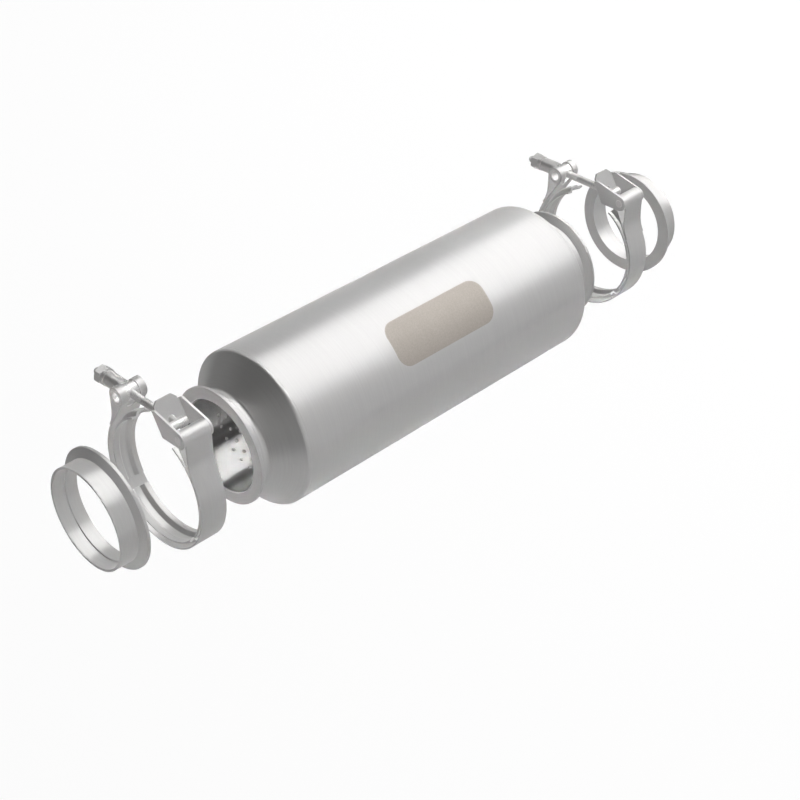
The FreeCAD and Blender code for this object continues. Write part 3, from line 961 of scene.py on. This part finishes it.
@dataclass
class CrossBarBolt:
    """A clamp bolt with its rolled thread and cross bar.

    Args:
        end: "inlet" or "outlet".
        pitch: Thread pitch, in metres.
        root_r: Radius at the bottom of the thread, in metres.
        crest_r: Radius over the thread, in metres.
        shank_r: Radius of the plain shank, in metres.
        thread_length: Length from the plain shank to the bolt's end, in metres.
        crest_gain: Height of the thread's peaks before the crests cut them flat, as a share
            of the crests' height.
        dome: Length of the rounded end, in metres.
        dome_steps: Length left to the bolt's end, as a share of the dome, and radius there, as
            a share of the thread's root.
        sink: How far the dome reaches into the thread, in metres.
        taper: Length of the shank's taper before the thread and inside it, in metres.
        bar_edge: Chamfer of the cross bar's ends, in metres.
        steps: Segments round the bolt.
        rows_per_turn: Rows of faces along one pitch.
        merge: Points nearer than this become one, in metres.
        sharp_deg: Edges that turn more than this stay sharp.
    """

    end: str
    pitch: float = 0.907 * MM
    root_r: float = 2.72 * MM
    crest_r: float = 3.19 * MM
    shank_r: float = 3.1 * MM
    thread_length: float = 56.0 * MM
    crest_gain: float = 1.2
    dome: float = 1.4 * MM
    dome_steps: tuple[Pair, ...] = ((1.0, 1.0), (0.75, 0.93), (0.4, 0.75), (0.1, 0.42), (0.0, 0.12))
    sink: float = 0.2 * MM
    taper: Pair = (0.3 * MM, 0.1 * MM)
    bar_edge: float = 0.4 * MM
    steps: int = 32
    rows_per_turn: int = 6
    merge: float = 0.002 * MM
    sharp_deg: float = 35.0

    @property
    def node(self) -> str:
        """The frame node that this bolt stands for."""
        return self.end + "_t_bolt"

    def thread(self, material: bpy.types.Material) -> bmesh.types.BMesh:
        """Rolls a sheared grid into a thread along the X axis, from x = 0.

        Args:
            material: The bolt's material.

        Returns:
            The thread as a closed form.
        """
        length = self.thread_length - self.dome
        turns = math.ceil(length / self.pitch) + 1
        tree = GeometryTree(
            "Rolled Thread",
            {
                "Turns": ("Float", float(turns)),
                "Rows": ("Int", turns * self.rows_per_turn + 1),
                "Steps": ("Int", self.steps + 1),
                "Pitch": ("Float", self.pitch),
                "Root Radius": ("Float", self.root_r),
                "Crest Radius": ("Float", self.crest_r),
                "Length": ("Float", length),
                "Steel": ("Material", material),
            },
        )
        given = tree.given
        span = tree.math("MULTIPLY", given["Turns"], given["Pitch"])
        grid = tree.add("GeometryNodeMeshGrid")
        tree.feed(grid.inputs["Size X"], span)
        grid.inputs["Size Y"].default_value = 1.0
        tree.feed(grid.inputs["Vertices X"], given["Rows"])
        tree.feed(grid.inputs["Vertices Y"], given["Steps"])
        gx, gy, _ = tree.split(tree.add("GeometryNodeInputPosition").outputs[0])
        down = tree.math("MULTIPLY_ADD", span, 0.5, gx)
        share = tree.math("ADD", gy, 0.5)
        sheared = tree.math("MULTIPLY_ADD", share, given["Pitch"], down)
        slanted = tree.math("SUBTRACT", sheared, given["Pitch"])
        x = tree.math("MINIMUM", tree.math("MAXIMUM", slanted, 0.0), given["Length"])
        half = tree.math("MULTIPLY", given["Pitch"], 0.5)
        wave = tree.math("DIVIDE", tree.math("PINGPONG", down, half), half)
        flat_crest = tree.math("MINIMUM", tree.math("MULTIPLY", wave, self.crest_gain), 1.0)
        near = tree.math("MINIMUM", x, tree.math("SUBTRACT", given["Length"], x))
        fade = tree.math("MINIMUM", tree.math("DIVIDE", near, given["Pitch"]), 1.0)
        height = tree.math("MULTIPLY", flat_crest, fade)
        depth = tree.math("SUBTRACT", given["Crest Radius"], given["Root Radius"])
        radius = tree.math("MULTIPLY_ADD", height, depth, given["Root Radius"])
        turn = tree.math("MULTIPLY", share, 2 * math.pi)
        tree.close(tree.roll(grid.outputs[0], x, radius, turn))
        mesh = tree.run(bpy.data.meshes.new("thread"))
        work = bmesh.new()
        work.from_mesh(mesh)
        bpy.data.meshes.remove(mesh)
        bmesh.ops.remove_doubles(work, verts=work.verts, dist=self.merge)
        close_ends(work)
        return work

    def build(self, materials: Materials) -> None:
        """Makes the bolt and puts it in place of the plain one.
        """
        low, high = (Vector(corner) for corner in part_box(self.node))
        middle = (low + high) / 2
        bar_r = (high.z - low.z) / 2
        half_bar = (high.x - low.x) / 2
        bar_y = low.y + bar_r
        start = high.y - self.thread_length
        lie_along = Matrix.Rotation(math.pi / 2, 4, "Z")
        on_axis = Matrix.Translation((middle.x, 0.0, middle.z)) @ lie_along
        edge = self.bar_edge
        before, inside = self.taper
        shank = [
            (bar_y, self.shank_r),
            (start - before, self.shank_r),
            (start + inside, self.root_r),
        ]
        dome = [(high.y - self.dome - self.sink, self.root_r)]
        dome += [(high.y - left * self.dome, share * self.root_r) for left, share in self.dome_steps]
        bar = [
            (-half_bar, bar_r - edge),
            (-half_bar + edge, bar_r),
            (half_bar - edge, bar_r),
            (half_bar, bar_r - edge),
        ]
        mesh = bpy.data.meshes.new(self.end + "_bolt")
        mesh.materials.append(materials["bolt"])
        whole = bmesh.new()
        parts = (
            (self.thread(materials["bolt"]), on_axis @ Matrix.Translation((start, 0.0, 0.0))),
            (lathe(shank, self.steps, closed=True), on_axis),
            (lathe(dome, self.steps, closed=True), on_axis),
            (lathe(bar, self.steps, closed=True), Matrix.Translation((middle.x, bar_y, middle.z))),
        )
        for part, place in parts:
            bmesh.ops.transform(part, matrix=place, verts=part.verts)
            bmesh.ops.recalc_face_normals(part, faces=part.faces)
            add_part(whole, part)
        whole.to_mesh(mesh)
        whole.free()
        smooth(mesh, self.sharp_deg)
        new_piece(self.end + "_bolt_with_thread", mesh, self.end + "_bolt_body", "bolt_steel", self.node)


@dataclass
class MufflerBody:
    """The muffler itself: shell, end caps, flanges, core and packing.

    Args:
        core: The tube with the holes.
    """

    core: PerforatedCore = field(default_factory=PerforatedCore)

    def build(self, materials: Materials) -> None:
        """Dresses the solids and makes the perforated core.
        """
        dress("body_shell", materials["shell"])
        dress("sound_packing", materials["wool"])
        for end in ENDS:
            dress(end + "_end_cap", materials["cap"])
            dress(end + "_body_flange", materials["flange"])
        self.core.build(materials)


@dataclass
class WeldFlange:
    """A loose V-band flange for the exhaust pipe.

    Args:
        end: "inlet" or "outlet".
    """

    end: str

    def build(self, materials: Materials) -> None:
        """Dresses the flange.
        """
        dress(self.end + "_weld_flange", materials["flange"])


@dataclass
class BandClamp:
    """A quick-release V-band clamp.

    Args:
        end: "inlet" or "outlet".
    """

    end: str

    def build(self, materials: Materials) -> None:
        """Dresses the clamp's solids and makes its threaded bolt.
        """
        finish = {
            "strap": "strap",
            "v_retainer_bolt_side": "retainer",
            "v_retainer_lower": "retainer",
            "v_retainer_hinge_side": "retainer",
            "trunnion": "turned",
            "spacer_sleeve": "turned",
            "nut": "bolt",
            "saddle": "saddle",
            "hinge_pin": "turned",
        }
        for piece, material in finish.items():
            dress(self.end + "_" + piece, materials[material])
        CrossBarBolt(self.end).build(materials)


@dataclass(frozen=True)
class Lamp:
    """One soft area lamp, which casts no shadow.

    Args:
        name: Name of the lamp.
        size: Width and height, in metres.
        power: Watts.
    """

    name: str
    place: Triple
    size: Pair
    power: float

    def build(self, aim: Vector) -> None:
        """Places the lamp so that it faces a point.
        """
        light = bpy.data.lights.new(self.name, "AREA")
        light.shape = "RECTANGLE"
        light.size, light.size_y = self.size
        light.energy = self.power
        light.use_shadow = False
        light.cycles.use_multiple_importance_sampling = False
        made = bpy.data.objects.new(self.name, light)
        made.location = aim + Vector(self.place)
        made.rotation_euler = (-Vector(self.place)).to_track_quat("-Z", "Y").to_euler()
        made.visible_camera = False
        bpy.context.scene.collection.objects.link(made)


@dataclass
class Studio:
    """Floor, room light, lamps and camera.

    Args:
        floor_z: Height of the floor, in metres.
        floor_half: Half the floor's width, in metres.
        floor_tone: Grey level of the floor's paint, linear.
        floor_rough: Roughness of the paint.
        floor_specular: Specular level of the paint.
        floor_white: Share of plain white in what the camera and gloss see of the floor.
        floor_gloss: Level of that white as gloss sees it.
        fill: Share of the pale side's light that the lamps give in its place.
        room: Level of the pale room.
        dim: Level of the room's dim side.
        dim_side: Direction of the dim side.
        dim_edges: How far a direction points to the dim side where dimming starts and where
            it is full, from 0 at right angles to 1 straight at it.
        sensor: Width of the camera's sensor, in millimetres.
        lens: Focal length for that sensor, in millimetres.
        clip: Nearest and farthest distance that the camera sees, in metres.
        camera_back: Direction from what is seen to the camera.
        camera_level: Level direction to the right of the picture.
        roll: Turn of the camera about its line of sight, in radians.
        lamps: The area lamps.
    """

    middle: Vector
    floor_z: float = -0.36
    floor_half: float = 6.0
    floor_tone: float = 0.76
    floor_rough: float = 0.9
    floor_specular: float = 0.1
    floor_white: float = 0.86
    floor_gloss: float = 0.2
    fill: float = 0.7
    room: float = 0.88
    dim: float = 0.17
    dim_side: Triple = (-0.62, 0.20, 0.75)
    dim_edges: Pair = (0.3, 0.92)
    sensor: float = 36.0
    lens: float = 71.594
    clip: Pair = (0.05, 30.0)
    camera_place: Triple = (-0.7507, -0.7511, 0.6990)
    camera_back: Triple = (-1.0, -1.0, 1.0)
    camera_level: Triple = (1.0, -1.0, 0.0)
    roll: float = -0.0010
    lamps: tuple[Lamp, ...] = (
        Lamp("Overhead softbox", (1.42, -0.20, 2.02), (3.5, 3.0), 82.0),
        Lamp("Floor bounce", (0.0, 0.0, -1.2), (4.8, 4.8), 38.0),
        Lamp("Outlet side fill", (2.4, 0.0, 0.3), (4.8, 3.0), 30.0),
        Lamp("Inlet side fill", (-2.4, 0.5, -0.35), (2.4, 1.4), 6.0),
        Lamp("Nut side fill", (1.05, 2.4, 0.3), (2.7, 3.0), 17.0),
        Lamp("Nut side kicker", (0.0, 1.65, 1.88), (1.1, 1.1), 4.5),
        Lamp("Saddle side fill", (0.0, -2.4, 0.3), (4.8, 3.0), 31.0),
    )

    def room_light(self) -> None:
        """Lights a pale room with one dim side; the camera sees all of it as white."""
        world = bpy.data.worlds.new("Pale room")
        bpy.context.scene.world = world
        world.use_nodes = True
        tree = Tree(world.node_tree)
        back = world.node_tree.nodes["Background"]
        direction = tree.add("ShaderNodeTexCoord").outputs["Generated"]
        dim_way = Vector(self.dim_side).normalized()
        toward = tree.vector("DOT_PRODUCT", direction, dim_way).outputs["Value"]
        dimmed = tree.ramp(toward, *self.dim_edges, 0.0, 1.0)
        rays = tree.add("ShaderNodeLightPath").outputs
        in_gloss = tree.math("MULTIPLY", rays["Is Glossy Ray"], tree.math("SUBTRACT", 1.0, dimmed))
        straight = tree.math("MAXIMUM", rays["Is Camera Ray"], rays["Is Transmission Ray"])
        level = tree.math("MULTIPLY_ADD", dimmed, self.dim - self.room, self.room)
        left = tree.math("MULTIPLY_ADD", dimmed, self.fill, 1.0 - self.fill)
        lit = tree.math("MULTIPLY", tree.math("MAXIMUM", level, in_gloss), left)
        tree.feed(back.inputs["Strength"], tree.math("MAXIMUM", lit, straight))
        back.inputs["Color"].default_value = WHITE

    def floor(self) -> None:
        work = bmesh.new()
        bmesh.ops.create_grid(work, x_segments=1, y_segments=1, size=self.floor_half)
        bmesh.ops.translate(work, verts=work.verts, vec=(self.middle.x, self.middle.y, self.floor_z))
        mesh = bpy.data.meshes.new("floor")
        work.to_mesh(mesh)
        work.free()
        mesh.materials.append(self.floor_paint())
        made = bpy.data.objects.new("floor", mesh)
        bpy.context.scene.collection.objects.link(made)

    def floor_paint(self) -> bpy.types.Material:
        """Builds pale paint that the camera sees as nearly white and gloss sees darker.

        Returns:
            The finished material.
        """
        paint = bpy.data.materials.new("Pale floor")
        paint.use_nodes = True
        tree = Tree(paint.node_tree)
        shader = paint.node_tree.nodes["Principled BSDF"]
        shader.inputs["Base Color"].default_value = (self.floor_tone, self.floor_tone, self.floor_tone, 1.0)
        shader.inputs["Roughness"].default_value = self.floor_rough
        shader.inputs["Specular IOR Level"].default_value = self.floor_specular
        white = tree.add("ShaderNodeEmission")
        rays = tree.add("ShaderNodeLightPath").outputs
        seen = tree.math("MAXIMUM", rays["Is Camera Ray"], rays["Is Transmission Ray"])
        seen = tree.math("MAXIMUM", seen, rays["Is Glossy Ray"])
        in_gloss = tree.math("MULTIPLY", rays["Is Glossy Ray"], self.floor_gloss - 1.0)
        tree.feed(white.inputs["Strength"], tree.math("ADD", in_gloss, 1.0))
        mixed = tree.add("ShaderNodeMixShader")
        tree.feed(mixed.inputs[0], tree.math("MULTIPLY", seen, self.floor_white))
        tree.feed(mixed.inputs[1], shader.outputs[0])
        tree.feed(mixed.inputs[2], white.outputs[0])
        tree.feed(paint.node_tree.nodes["Material Output"].inputs["Surface"], mixed.outputs[0])
        return paint

    def camera(self) -> None:
        """Sets the camera at the photograph's angle, looking down on the inlet side."""
        view = bpy.data.cameras.new("camera")
        view.sensor_width = self.sensor
        view.lens = self.lens
        view.clip_start, view.clip_end = self.clip
        made = bpy.data.objects.new("camera", view)
        level = Vector(self.camera_level).normalized()
        back = Vector(self.camera_back).normalized()
        right = Matrix.Rotation(self.roll, 3, back) @ level
        up = back.cross(right)
        place = self.middle + Vector(self.camera_place)
        made.matrix_world = Matrix.Translation(place) @ Matrix((right, up, back)).transposed().to_4x4()
        bpy.context.scene.collection.objects.link(made)
        bpy.context.scene.camera = made

    def build(self) -> None:
        """Sets up the whole studio."""
        self.room_light()
        self.floor()
        for lamp in self.lamps:
            lamp.build(self.middle)
        self.camera()
        bpy.context.scene.view_settings.view_transform = "Standard"


def main() -> None:
    logging.basicConfig(level=logging.INFO, format="%(name)s: %(message)s")
    low, high = (Vector(corner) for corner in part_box("body_shell"))
    middle = Vector(((low.x + high.x) / 2, 0.0, 0.0))
    finishes = Finishes(
        shell=EtchedSteel(
            "Brushed shell steel",
            tone=0.38,
            rough=0.37,
            per_metre=1100.0,
            contrast=0.03,
            centre_x=middle.x,
            body_r=high.z,
        )
    )
    materials = finishes.build()
    MufflerBody().build(materials)
    log.info("muffler body done")
    for end in ENDS:
        WeldFlange(end).build(materials)
        log.info("%s weld flange done", end)
        BandClamp(end).build(materials)
        log.info("%s clamp done", end)
    Studio(middle).build()


if __name__ == "__main__":
    main()
